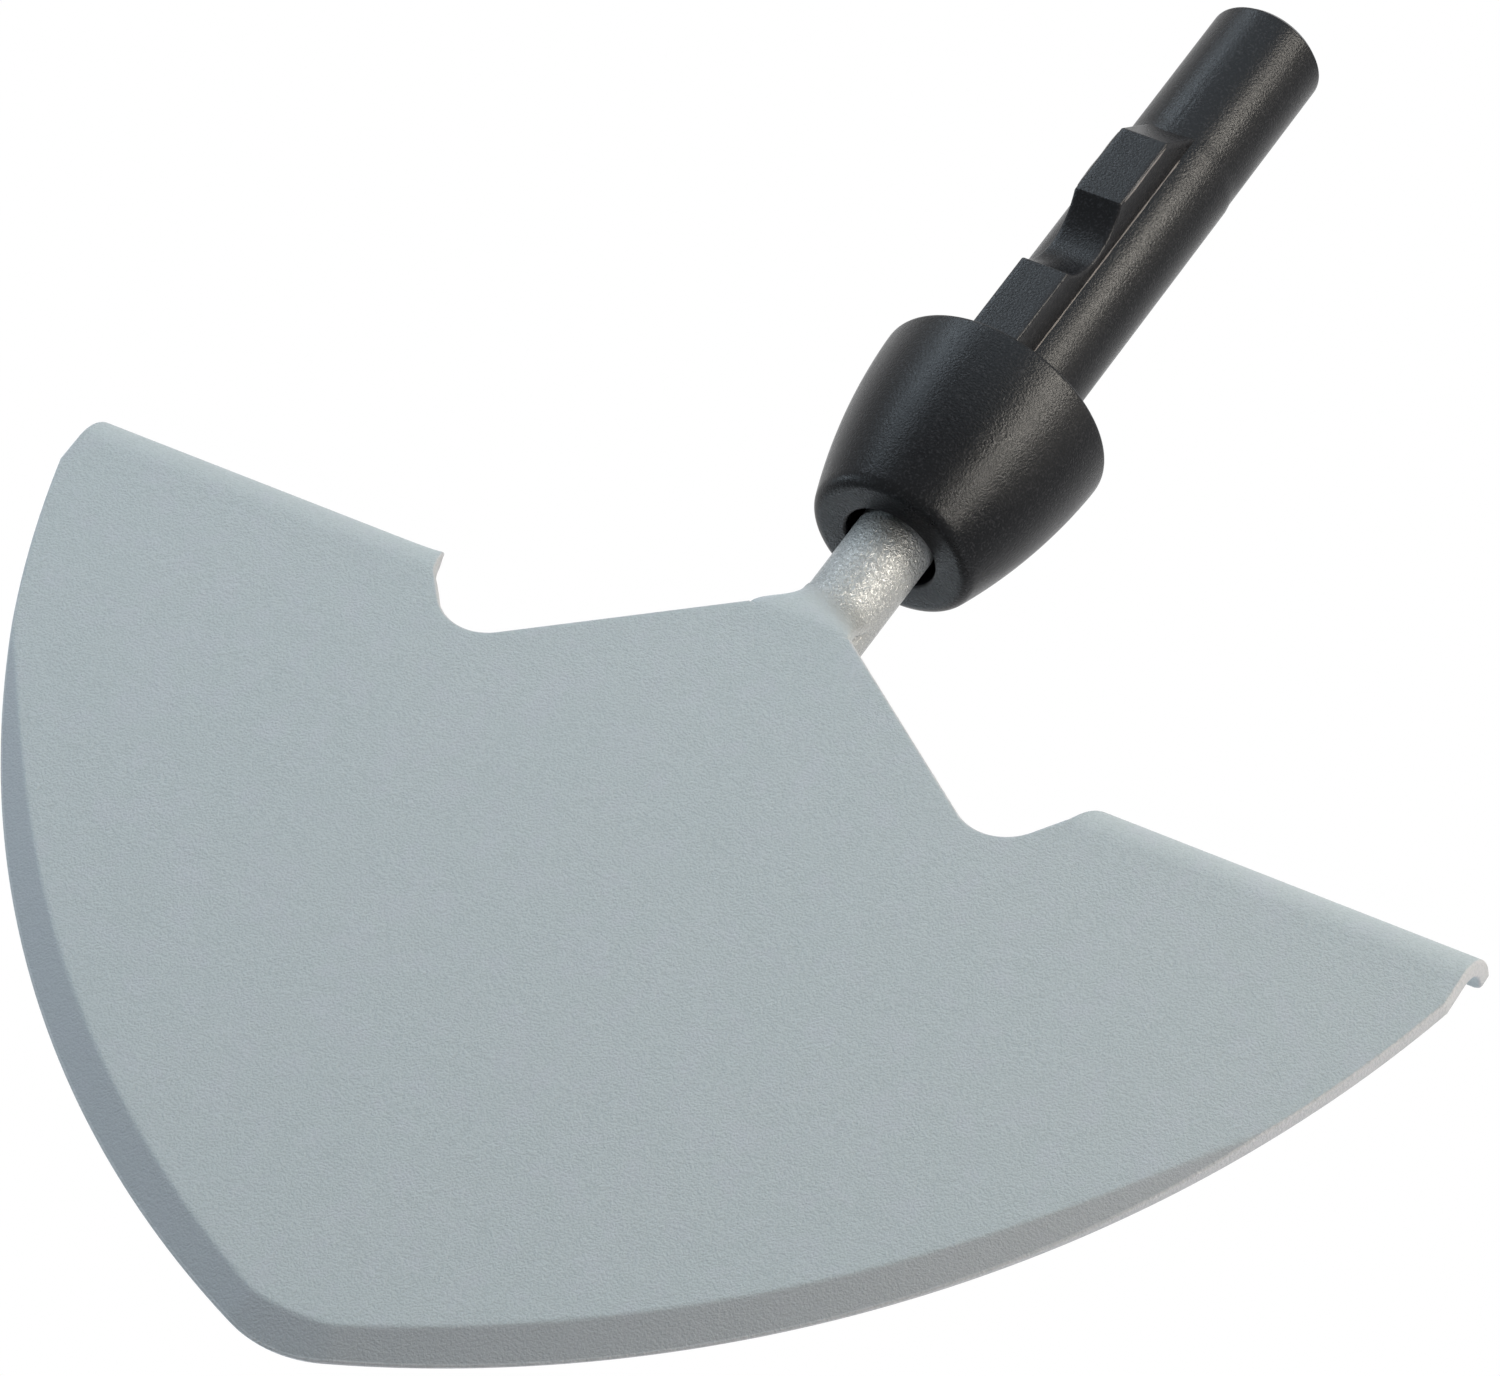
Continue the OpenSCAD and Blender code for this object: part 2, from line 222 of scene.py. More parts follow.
class Finish:
    """The nodes of a material or a world, written as expressions."""

    def __init__(self, owner):
        owner.use_nodes = True
        self.owner = owner
        self.tree = owner.node_tree
        self.tree.nodes.clear()

    def node(self, kind, settings=None, inputs=None, out=0):
        """Adds a node of a type, sets it up, fills its sockets, and returns one of its outputs."""
        node = self.tree.nodes.new(kind)
        for key, value in (settings or {}).items():
            setattr(node, key, value)
        for key, value in (inputs or {}).items():
            socket = node.inputs[key]
            if isinstance(value, Value):
                self.tree.links.new(value.socket, socket)
            else:
                full = socket.type == "RGBA" and len(value) == 3
                socket.default_value = (*value, 1.0) if full else value
        return Value(self, node.outputs[out])

    def place(self, stretch=(1.0, 1.0, 1.0)):
        """Object coordinates, stretched."""
        spot = self.node("ShaderNodeTexCoord", out="Object")
        return self.node("ShaderNodeMapping", None, {"Vector": spot, "Scale": stretch})

    def noise(self, spot, scale, detail=2.0, roughness=0.5, distortion=0.0):
        """Noise between 0 and 1; scale is in cells per metre."""
        inputs = {
            "Vector": spot,
            "Scale": scale,
            "Detail": detail,
            "Roughness": roughness,
            "Distortion": distortion,
        }
        return self.node("ShaderNodeTexNoise", None, inputs)

    def span(self, value, low, high, start=0.0, end=1.0):
        """Maps a value from low..high to start..end, clamped and eased."""
        inputs = {"Value": value, "From Min": low, "From Max": high, "To Min": start, "To Max": end}
        return self.node("ShaderNodeMapRange", {"interpolation_type": "SMOOTHSTEP"}, inputs)

    def mix(self, factor, first, second):
        """Mixes two colours, at the Mix node's colour sockets."""
        return self.node("ShaderNodeMix", {"data_type": "RGBA"}, {0: factor, 6: first, 7: second}, 2)

    def attribute(self, name):
        """A float attribute of the piece."""
        return self.node("ShaderNodeAttribute", {"attribute_name": name}, None, 2)

    def bump(self, height, distance):
        """Tilts the normal by a height from 0 to 1; distance is the height of 1."""
        return self.node("ShaderNodeBump", None, {"Height": height, "Strength": 1.0, "Distance": distance})

    def surface(self, **sockets):
        """Ends the finish in a principled shader; underscores in names stand for spaces."""
        inputs = {key.replace("_", " "): value for key, value in sockets.items()}
        return self.output(self.node("ShaderNodeBsdfPrincipled", None, inputs))

    def output(self, shader, kind="ShaderNodeOutputMaterial"):
        """Ends the nodes in their output and returns the material or world."""
        end = self.tree.nodes.new(kind)
        self.tree.links.new(shader.socket, end.inputs["Surface"])
        return self.owner


def coat_finish(name, top, low, edge, bar_tone_and_shade, bevel_shade_tone, cast_tone):
    """Grey powder coat: fine leathery grain, soft peel, mottling and faint patches of tint.

    It is darker in the grain's hollows and on the bevel as painted shade, paler over cut edges as a painted
    edge highlight with the coat wearing thin, and glossier, crumpled and darker on the bar, partly as
    painted shade.
    """
    coat = Finish(bpy.data.materials.new(name))
    spot = coat.place()
    grain = coat.noise(spot, scale=2700.0, detail=2.0, roughness=0.55, distortion=0.3)
    peel = coat.noise(spot, scale=900.0, detail=2.0, roughness=0.5, distortion=0.4)
    crumple = coat.noise(spot, scale=1400.0, detail=3.0, roughness=0.6, distortion=0.9)
    mottle = coat.noise(spot, scale=42.0, detail=3.0, roughness=0.6)
    patches = coat.noise(spot, scale=230.0, detail=2.0, roughness=0.5)
    rim = coat.attribute("rim")
    bar = coat.attribute("bar")
    bevel = coat.attribute("bevel")
    relief = grain * 0.85 + peel * 0.3
    # Painted shade: the coat is drawn darker in the hollows of its grain.
    tone = coat.mix(coat.span(relief, 0.42, 0.72), low, top)
    shade = coat.mix(coat.span(mottle, 0.35, 0.7, 0.0, 0.06), tone, edge)
    tinted = coat.mix(coat.span(patches, 0.45, 0.75, 0.0, 0.3), shade, cast_tone)
    # Painted shade: the bevel is drawn darker, for the light it turns away from.
    ground = coat.mix(bevel * 0.6, tinted, bevel_shade_tone)
    # Partly painted shade: the bar's darker tone stands in partly for the collar's shade.
    plain = coat.mix(bar * 0.85, ground, bar_tone_and_shade)
    # Painted edge highlight, with the coat wearing thin: cut edges are drawn paler.
    edge_highlight_and_wear = rim * coat.span(relief, 0.35, 0.7, 0.3, 0.75)
    matt = coat.span(grain, 0.3, 0.7, 0.56, 0.46)
    height = relief * (1 - bar * 0.7 - bevel * 0.3) + crumple * bar * 1.8
    return coat.surface(
        Base_Color=coat.mix(edge_highlight_and_wear, plain, edge),
        Metallic=bar * 0.2,
        Roughness=matt - bar * 0.24,
        Normal=coat.bump(height, 0.19 * MM),
        Specular_IOR_Level=0.27,
    )


def plastic_finish(name, base, fleck, rough):
    """Black glass-filled plastic: fine sparkle grain, broad flow marks, edges paler as painted highlight and
    rubbing.
    """
    body = Finish(bpy.data.materials.new(name))
    spot = body.place()
    along = body.place((1.0, 1.0, 0.3))
    grain = body.noise(spot, scale=3000.0, detail=2.0, roughness=0.6)
    flow = body.noise(along, scale=160.0, detail=3.0, roughness=0.55, distortion=0.4)
    flecks = body.noise(spot, scale=2700.0, detail=1.0, roughness=0.5)
    speck = body.span(flecks, 0.5, 0.74)
    rim = body.attribute("rim")
    # The rib's eased edges are drawn paler: a painted edge highlight with some rubbing.
    tone = body.mix(speck * 0.6 + rim * 0.35, base, fleck)
    return body.surface(
        Base_Color=tone,
        Roughness=body.span(flow, 0.3, 0.7, rough - 0.03, rough + 0.05),
        Normal=body.bump(grain + flow * 0.15, 0.08 * MM),
        Specular_IOR_Level=0.14,
        Specular_Tint=(0.92, 0.96, 1.0),
    )


def grid_faces(columns, rows, start=0, wrap=False, flip=False):
    """Quads of a grid whose vertex (i, j) has the number start + i * rows + j.

    Wrap joins the last column to the first.
    """
    i = np.arange(columns if wrap else columns - 1)[:, None]
    j = np.arange(rows - 1)[None, :]
    here = i * rows + j
    following = (i + 1) % columns * rows + j
    quads = np.stack(np.broadcast_arrays(here, following, following + 1, here + 1), -1)
    quads = quads.reshape(-1, 4) + start
    return quads[:, ::-1] if flip else quads


def capped(grid):
    """Closes a tube: a first and a last row, each drawn together in the middle of its end."""
    ends = grid[:, [0, -1]].mean(0)
    first, last = (np.broadcast_to(end, (len(grid), 1, 3)) for end in ends)
    return np.concatenate([first, grid, last], 1)


def add_piece(name, points, faces, material, slot, nodes, **marks):
    """Makes a smooth mesh object from whole arrays.

    Points that lie together are joined, and faces lose the corners that this repeats.
    """
    points = np.asarray(points, float)
    places = np.round(points / JOIN)
    _, first, joined = np.unique(places, axis=0, return_index=True, return_inverse=True)
    faces = joined.reshape(-1)[np.asarray(faces)]
    corners = faces != np.roll(faces, 1, 1)
    sizes = corners.sum(1)
    loops = faces[sizes > 2][corners[sizes > 2]]
    sizes = sizes[sizes > 2]
    mesh = bpy.data.meshes.new(name)
    mesh.vertices.add(len(first))
    mesh.vertices.foreach_set("co", points[first].astype(np.float32).ravel())
    mesh.loops.add(len(loops))
    mesh.loops.foreach_set("vertex_index", loops.astype(np.int32))
    mesh.polygons.add(len(sizes))
    mesh.polygons.foreach_set("loop_start", (np.cumsum(sizes) - sizes).astype(np.int32))
    mesh.polygons.foreach_set("use_smooth", np.ones(len(sizes), dtype=bool))
    for mark, values in marks.items():
        layer = mesh.attributes.new(mark, "FLOAT", "POINT")
        layer.data.foreach_set("value", values[first].astype(np.float32))
    mesh.materials.append(material)
    mesh.update(calc_edges=True)
    mesh.set_sharp_from_angle(angle=SHARP)
    piece = bpy.data.objects.new(name, mesh)
    bpy.context.scene.collection.objects.link(piece)
    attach(piece, "root")
    if nodes:
        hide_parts(*nodes)


def arc_centre(a, b, radius):
    """Centre of the arc from a to b that lies to the left of that way."""
    a, b = np.asarray(a), np.asarray(b)
    chord = np.linalg.norm(b - a)
    way = (b - a) / chord
    inset = math.sqrt(radius**2 - chord**2 / 4)
    return (a + b) / 2 + inset * np.array([-way[1], way[0]])


def run(points, step):
    """A polyline sampled at even steps; its corner points stay."""
    points = np.asarray(points, float)
    spans = []
    for a, b in zip(points[:-1], points[1:]):
        count = max(1, int(math.ceil(np.linalg.norm(b - a) / step)))
        spans.append(a + (b - a) * (np.arange(count) / count)[:, None])
    return np.concatenate(spans + [points[-1:]])


def on_head(size, points):
    """Carries points from the blade's own frame to the head's.

    In the blade's frame, depth starts at its front face and height at the tread line.
    """
    x, depth, height = np.moveaxis(np.asarray(points), -1, 0)
    cosine, sine = math.cos(size.lean), math.sin(size.lean)
    y = depth * cosine - height * sine - size.setback
    return np.stack([x, y, depth * sine + height * cosine + size.tread_line], -1)


def flat_height(size, h):
    """Height along the flat sheet of a front-view height: the bend's arc is unrolled."""
    start = size.tread_rise - size.tread_radius
    lift = np.clip((h - start) / size.tread_radius, 0.0, 1.0)
    return np.where(h > start, start + size.tread_radius * np.arcsin(lift), h)


def upper_boundary(size):
    """Right half of the flat sheet's upper outline, from the neck's middle to the tread's outer end."""
    foot_rise, bend_rise = 0.8 * MM, 3.4 * MM
    corner_steps = np.array([[-1.2, 0.0], [-0.5, -0.3], [-0.15, -0.8]]) * MM
    centre = np.array([size.notch_x, -size.notch_drop])
    neck = np.array([size.neck_width / 2, size.neck_height])
    tread = np.array([size.tread_inner - size.tread_ease, size.tread_rise - size.tread_radius + foot_rise])

    def touch(point, side):
        reach = point - centre
        return math.atan2(reach[1], reach[0]) + side * math.acos(size.notch_radius / np.linalg.norm(reach))

    first, last = touch(neck, 1), touch(tread, -1) + TURN
    angles = np.linspace(first, last, 24)
    notch = centre + size.notch_radius * np.stack([np.cos(angles), np.sin(angles)], -1)
    back = flat_height(size, np.array(size.tread_rise)) + size.tread_depth - size.tread_radius
    t = np.linspace(0, 1, 26)[:, None]
    bend = np.array([size.tread_inner, tread[1] + bend_rise])
    cut = tread * (1 - t) ** 3 + bend * 3 * t * (1 - t) ** 2
    cut += np.array([size.tread_inner, back]) * 3 * t**2 * (1 - t)
    cut += np.array([size.tread_inner + size.tread_cut, back]) * t**3
    outer = np.array([size.blade_width / 2, back]) + corner_steps
    return np.concatenate(
        [
            run([[0.0, size.neck_height], neck], step=0.9 * MM)[:-1],
            run([neck, notch[0]], step=1.0 * MM)[:-1],
            notch[:-1],
            run([notch[-1], tread], step=0.6 * MM)[:-1],
            cut[:-1],
            run([cut[-1], outer[0]], step=1.2 * MM)[:-1],
            outer,
        ]
    )


def lower_boundary(size, x):
    """Height of the cutting edge at a distance x from the middle: two arcs joined by a rounded point."""
    half = size.blade_width / 2
    centre = arc_centre([0.0, -size.blade_depth], [half, -size.corner_drop], size.edge_radius)
    inner = size.edge_radius - size.point_radius
    point_z = centre[1] - math.sqrt(inner**2 - centre[0] ** 2)
    touch = -centre[0] * size.point_radius / inner
    arc = centre[1] - np.sqrt(size.edge_radius**2 - (np.abs(x) - centre[0]) ** 2)
    point = point_z - np.sqrt(size.point_radius**2 - np.minimum(np.abs(x), touch) ** 2)
    return np.where(np.abs(x) > touch, arc, point)


def bevel_depth(size, x, h):
    """Depth of the front face below its plane: the smooth largest of three cones' depths and zero.

    Towards the sides the cones' line turns out to the edge, by the square and the sixth power of the way.
    """
    sixth_share, nose_reach, outside = 0.3, 9 * MM, -1.0
    half = size.blade_width / 2
    edge = arc_centre([0.0, -size.blade_depth], [half, -size.corner_drop], size.edge_radius)
    end_x = half - size.bevel_runout
    end_h = edge[1] - math.sqrt(size.edge_radius**2 - (end_x - edge[0]) ** 2)
    foot = size.bevel_width - size.blade_depth
    side = arc_centre([0.0, foot], [end_x, end_h], size.bevel_radius)
    nose = foot + size.bevel_point_cut + size.bevel_point_radius
    turned = np.maximum(np.abs(x) - size.bevel_turn, 0.0) / size.bevel_turn_length
    beyond = np.hypot(np.abs(x) - side[0], h - side[1]) - size.bevel_radius
    beyond -= (turned**2 + sixth_share * turned**6) * MM
    tip = np.hypot(x, h - nose) - size.bevel_point_radius - np.maximum(0.0, np.abs(x) - nose_reach)
    tip = np.where(h < nose, tip, outside)
    depth = np.maximum(beyond, tip) * math.tan(size.bevel_angle)
    return (depth + np.sqrt(depth**2 + size.bevel_softness**2)) / 2


def sheet_points(size, x, h, depth):
    """Points of the bent sheet.

    Flat height h rolls back over the tread's bend, and depth goes in from the front face.
    """
    lift_length, lift_rise = 1.6 * MM, 5 * MM
    start = size.tread_rise - size.tread_radius
    rolled = np.where(np.abs(x) > size.notch_x, np.maximum(h - start, 0.0), 0.0)
    angle = np.minimum(rolled / size.tread_radius, math.pi / 2)
    past = np.maximum(rolled - size.tread_radius * math.pi / 2, 0.0)
    front = bevel_depth(size, x, h)
    inward = front + (size.sheet - front) * depth / size.sheet
    y = size.tread_radius * (1 - np.cos(angle)) + past + inward * np.cos(angle)
    height = h - rolled + size.tread_radius * np.sin(angle) - inward * np.sin(angle)
    inner_end = np.exp(-np.maximum(-x - size.tread_inner, 0.0) / lift_length)
    stand = inner_end * np.minimum(rolled / lift_rise, 1.0)
    height = height + np.where(x < 0, size.tread_lift * stand, 0.0)
    return on_head(size, np.stack([x, y, height], -1))


def outward(loop):
    """Mitred outward normals of a closed loop that runs anticlockwise."""
    least_cosine = 0.6
    ahead = np.roll(loop, -1, 0) - loop
    ahead /= np.linalg.norm(ahead, axis=1)[:, None]
    normal = np.stack([ahead[:, 1], -ahead[:, 0]], -1)
    both = normal + np.roll(normal, 1, 0)
    both /= np.linalg.norm(both, axis=1)[:, None]
    return both / np.maximum(least_cosine, (both * normal).sum(1))[:, None]


def blade_surface(size):
    """A front and a back sheet on one grid, from the cutting edge up to the outline, and a rim round both.

    Columns run from the edge to the outline; rows crowd at both ends, where the bevel and the bend are.
    The rim carries a rounded section round the whole outline. Also gives the marks of rim and bevel,
    for the rim's painted edge highlight and the bevel's painted shade.
    """
    edge_rows, middle_rows, bend_rows, rim_rows = 22, 12, 24, 5
    edge_band, edge_most = 9 * MM, 0.34
    bend_band, bend_most = 14 * MM, 0.56
    by_width, by_length = 0.65, 0.35
    full_bevel = 0.12 * MM
    right = upper_boundary(size)
    upper = np.concatenate([right[:0:-1] * [-1, 1], right])
    travel = np.concatenate([[0.0], np.cumsum(np.linalg.norm(np.diff(right, axis=0), axis=1))])
    half = size.blade_width / 2
    across = half * (by_width * right[:, 0] / right[-1, 0] + by_length * travel / travel[-1])
    across = np.concatenate([-across[:0:-1], across])
    lower = np.stack([across, lower_boundary(size, across)], -1)
    count = len(upper)
    low_band, mid_band = np.linspace(0, 1, edge_rows)[:-1], np.linspace(1, 2, middle_rows)[:-1]
    band = np.concatenate([low_band, mid_band, np.linspace(2, 3, bend_rows)])
    tall = (upper - lower)[:, 1]
    first = np.minimum(edge_band, edge_most * tall) / tall
    last = 1 - np.minimum(bend_band, bend_most * tall) / tall
    marks = np.stack([np.zeros(count), first, last, np.ones(count)], -1)
    part = np.minimum(band.astype(int), 2)
    share = marks[:, part] + (marks[:, part + 1] - marks[:, part]) * (band - part)
    rows = len(band)
    side = upper[0] + (lower[0] - upper[0]) * (1 - share[0])[::-1, None]
    other = side[::-1] * [-1, 1]
    loop = np.concatenate([lower, other[1:-1], upper[::-1], side[1:-1]])
    inset = loop - outward(loop) * size.rim_radius
    low_in = inset[:count]
    up_in = inset[count + rows - 2 : 2 * count + rows - 2][::-1]
    flat = low_in[:, None] + (up_in - low_in)[:, None] * share[:, :, None]
    numbers = np.arange(count * rows).reshape(count, rows)
    ring = np.concatenate([numbers[:, 0], numbers[-1, 1:-1], numbers[::-1, -1], numbers[0, -2:0:-1]])
    front = sheet_points(size, flat[..., 0], flat[..., 1], 0.0).reshape(-1, 3)
    back = sheet_points(size, flat[..., 0], flat[..., 1], size.sheet).reshape(-1, 3)
    border = flat.reshape(-1, 2)[ring]
    turn = np.linspace(0, math.pi / 2, rim_rows)[1:]
    lift = size.rim_radius * (1 - np.cos(turn))
    push = np.sin(turn)
    depths = np.concatenate([lift, size.sheet - lift[::-1]])
    pushes = np.concatenate([push, push[::-1]])
    rims = border[:, None] + (loop - border)[:, None] * pushes[None, :, None]
    rim = sheet_points(size, rims[..., 0], rims[..., 1], depths[None, :])
    start = 2 * count * rows
    between = start + np.arange(rim.shape[0] * rim.shape[1]).reshape(rim.shape[:2])
    order = np.concatenate([ring[:, None], between, ring[:, None] + count * rows], 1)
    after = np.roll(order, -1, 0)
    sides = np.stack([order[:, :-1], order[:, 1:], after[:, 1:], after[:, :-1]], -1).reshape(-1, 4)
    points = np.concatenate([front, back, rim.reshape(-1, 3)])
    sheets = [grid_faces(count, rows), grid_faces(count, rows, count * rows, flip=True)]
    faces = np.concatenate([*sheets, sides])
    # Rim mark: cut edges are drawn paler, a painted edge highlight with the coat wearing thin.
    edge_highlight_and_wear = np.zeros(len(points))
    edge_highlight_and_wear[start:] = 1.0
    # Bevel mark: the bevel is drawn darker as painted shade.
    ground = np.zeros(len(points))
    bevelled = bevel_depth(size, flat[..., 0], flat[..., 1]).ravel()
    ground[: count * rows] = np.clip(bevelled / full_bevel, 0.0, 1.0)
    return points, faces, edge_highlight_and_wear, ground


def revolve(profile, turns=128):
    """Carries an open (radius, height) profile round the Z axis; the ends lie on the axis or meet."""
    profile = np.asarray(profile, float)
    angle = np.arange(turns) / turns * TURN
    points = np.stack(
        np.broadcast_arrays(
            profile[None, :, 0] * np.cos(angle)[:, None],
            profile[None, :, 0] * np.sin(angle)[:, None],
            profile[None, :, 1],
        ),
        -1,
    )
    return points.reshape(-1, 3), grid_faces(turns, len(profile), wrap=True)


def rounded(corner, before, after, radius, count=6):
    """Points of a fillet at a corner between the ways to the points before and after it."""
    corner, before, after = (np.asarray(p, float) for p in (corner, before, after))
    a = (before - corner) / np.linalg.norm(before - corner)
    b = (after - corner) / np.linalg.norm(after - corner)
    t = np.linspace(0, 1, count)[:, None]
    return corner + radius * (a * (1 - t) ** 2 + b * t**2)


def tang_surface(size):
    """A chamfered bar: a circle along Z, cut flat where it lies on the blade and in the socket."""
    below_neck, below_flats = 0.3 * MM, 0.2 * MM
    bottom = size.tread_line - size.tang_foot
    neck = size.tread_line + size.neck_height
    flats_start = size.tang_top - size.tang_flat_length
    levels = np.concatenate(
        [
            [bottom, bottom, bottom + size.tang_chamfer],
            np.linspace(bottom + 2 * size.tang_chamfer, neck - below_neck, 40),
            np.linspace(neck, flats_start - below_flats, 30),
            [flats_start, size.tang_top - size.tang_chamfer, size.tang_top, size.tang_top],
        ]
    )
    radii = np.full(len(levels), size.tang_radius)
    radii[[0, -1]] = 0.0
    radii[[1, -2]] = size.tang_radius - size.tang_chamfer
    points, faces = revolve(np.stack([radii, levels], -1), turns=96)
    slope = math.tan(size.lean)
    seat = (points[:, 2] - size.tread_line) * -slope + size.sheet / math.cos(size.lean) - size.setback
    low = points[:, 2] < neck
    points[:, 1] = np.where(low, np.maximum(points[:, 1], seat), points[:, 1])
    high = points[:, 2] >= flats_start
    flats = np.clip(points[:, 0], -size.tang_flats / 2, size.tang_flats / 2)
    points[:, 0] = np.where(high, flats, points[:, 0])
    return points, faces


def bar_share(size, points):
    """How far the coat has turned from the blade's look to the bar's: 0 low on the weld, 1 above it.

    It turns lower down on the right than on the left.
    """
    slant, start, length_share = 0.45, 0.2, 0.7
    height = points[:, 2] - size.tread_line - size.neck_height + slant * points[:, 0]
    share = np.clip((height / size.weld_height - start) / length_share, 0.0, 1.0)
    return share * share * (3 - 2 * share)


def neck_weld_surface(size):
    """A fillet: the neck's boxy section flows into the bar's half circle and feathers out on the blade.

    In width it flows fast at first, and in depth it settles at both ends.
    """
    soft, haste, box_power = 0.5 * MM, 1.65, 0.3
    stand, sink, taper = 0.06 * MM, 0.14 * MM, 0.8 * MM
    behind, under = 0.2 * MM, 0.03 * MM
    feather = np.linspace(-size.weld_feather, 0, 12)[:-1]
    h = np.concatenate([feather, np.linspace(0, size.weld_height, 40)])[None, :]
    a = np.linspace(0, TURN, 128, endpoint=False)[:, None]
    below = np.clip(-h, 0.0, None) / size.weld_feather
    eased = (h + np.sqrt(h**2 + soft**2)) / 2
    flow = 1 - (1 - np.minimum(eased / size.weld_height, 1.0)) ** haste
    flow = flow * np.minimum((h + size.weld_feather) / size.weld_feather, 1.0)
    front = sink * below**2 - stand
    rear = size.sheet - behind
    radius = size.tang_radius - under

    def boxy(value):
        return np.sign(value) * np.abs(value) ** box_power

    box_x = (size.neck_width / 2 - taper * below) * boxy(np.cos(a))
    box_y = (front + rear) / 2 - (rear - front) / 2 * boxy(np.sin(a))
    round_x = radius * np.cos(a)
    round_y = size.setback - radius * np.maximum(np.sin(a), 0.0)
    x = box_x + (round_x - box_x) * flow
    way = np.clip(h / size.weld_height, 0.0, 1.0)
    y = box_y + (round_y - box_y) * way * way * (3 - 2 * way)
    grid = capped(on_head(size, np.stack(np.broadcast_arrays(x, y, h + size.neck_height), -1)))
    return grid.reshape(-1, 3), grid_faces(*grid.shape[:2], wrap=True, flip=True)


def bead_surface(size, side):
    """A weld bead: a round along the seam, swollen once for each ripple and closed in round ends."""
    swell, slant = 0.035, 0.12
    t = np.linspace(-1, 1, 161)
    reach = size.bead_length / 2 + size.bead_radius
    along = reach * np.sin(t * math.pi / 2)
    past = np.maximum(np.abs(along) - size.bead_length / 2, 0.0) / size.bead_radius
    ripple = 1 + swell * np.cos(along / size.bead_pitch * TURN) ** 3 - swell
    radius = size.bead_radius * np.sqrt(np.maximum(1 - past**2, 0.0)) * ripple
    radius[[0, -1]] = 0.0
    points, faces = revolve(np.stack([radius, along], -1), turns=48)
    points[:, 2] += slant * points[:, 0] * side
    middle = size.bead_top - size.bead_length / 2
    points += [side * size.bead_spread, size.sheet + size.bead_lift, middle]
    points[:, 2] = np.clip(points[:, 2], middle - reach, middle + reach)
    return on_head(size, points), faces


def collar_profile(size):
    """Half section of the collar: down the seat and the mouth, round the foot, up and over the top."""
    seat_gap, rim_inset, mouth_edge, mouth_round = 0.4 * MM, 0.02 * MM, 0.6 * MM, 0.5 * MM
    edge_room, top_inset = 2.2 * size.collar_edge, 1.4 * MM
    bulge_x = math.sqrt(size.collar_bulge**2 - size.collar_rise**2) - size.collar_radius
    foot_z = size.collar_foot - size.collar_height
    foot_reach = size.collar_bulge - size.collar_foot
    foot_x = math.sqrt(foot_reach**2 - (size.collar_rise - foot_z) ** 2) - bulge_x
    low = math.atan2(foot_z - size.collar_rise, foot_x + bulge_x)
    high = math.asin((-edge_room - size.collar_rise) / size.collar_bulge)
    foot = np.linspace(-math.pi / 2, low, 12)
    foot_points = size.collar_foot * np.stack([np.cos(foot), np.sin(foot)], -1) + [foot_x, foot_z]
    side = np.linspace(low, high, 40)
    floor = size.collar_floor - size.collar_height
    mouth, bottom = size.mouth_radius, -size.collar_height
    bore = size.spigot_radius - seat_gap
    side_x = size.collar_bulge * np.cos(side) - bulge_x
    side_points = np.stack([side_x, size.collar_rise + size.collar_bulge * np.sin(side)], -1)
    rim = np.array([size.collar_radius - rim_inset, 0.0])
    return np.concatenate(
        [
            [[bore, 0.0], [bore, floor], [mouth, floor]],
            np.linspace([mouth, floor], [mouth, bottom + mouth_edge], 6)[1:],
            rounded([mouth, bottom], [mouth, 0.0], [foot_x, bottom], mouth_round),
            foot_points,
            side_points[1:],
            rounded(rim, side_points[-1], [0.0, 0.0], size.collar_edge, count=9),
            np.linspace([size.collar_radius - top_inset, 0.0], [bore, 0.0], 10),
        ]
    )


def spigot_profile(size):
    """Half section of the spigot: down its socket, round its tail, and up to its chamfered end."""
    tail_inset, below_top, step = 0.5 * MM, 0.4 * MM, 0.8 * MM
    shaft_start, nose_end, face_inset = -0.3 * MM, 1.7 * size.spigot_edge, 1.5 * size.spigot_edge
    tail = size.collar_floor - size.collar_height
    tail_radius = size.spigot_radius - tail_inset
    key_top = size.key_length + size.key_slope
    end = size.spigot_length
    bore = size.tang_radius + size.socket_gap
    shoulder, face = [size.nose_radius, end - size.spigot_edge], [size.nose_radius - size.spigot_edge, end]
    return np.concatenate(
        [
            [[0.0, size.socket_top], [bore, size.socket_top], [bore, tail], [tail_radius, tail]],
            np.linspace([tail_radius, tail], [tail_radius, -below_top], 3)[1:],
            np.linspace([size.spigot_radius, shaft_start], [size.spigot_radius, key_top - step], 60),
            np.linspace([size.nose_radius, key_top + step], [size.nose_radius, end - nose_end], 24),
            rounded(shoulder, [size.nose_radius, 0.0], face, size.spigot_ease),
            rounded(face, shoulder, [0.0, end], size.spigot_ease),
            np.linspace([size.nose_radius - face_inset, end], [0.0, end], 8),
        ]
    )


def part_nose(size, points):
    """Sinks the points along the front of the nose where the mould parted; the line fades out upwards."""
    near = 0.01 * MM
    start = size.key_length + size.key_slope
    fade = 1 - np.clip((points[:, 2] - start) / size.parting_length, 0.0, 1.0)
    on_line = (np.abs(points[:, 0]) < near) & (points[:, 1] < 0.0) & (points[:, 2] > start)
    points[:, 1] += np.where(on_line, size.parting_depth * fade, 0.0)
    return points


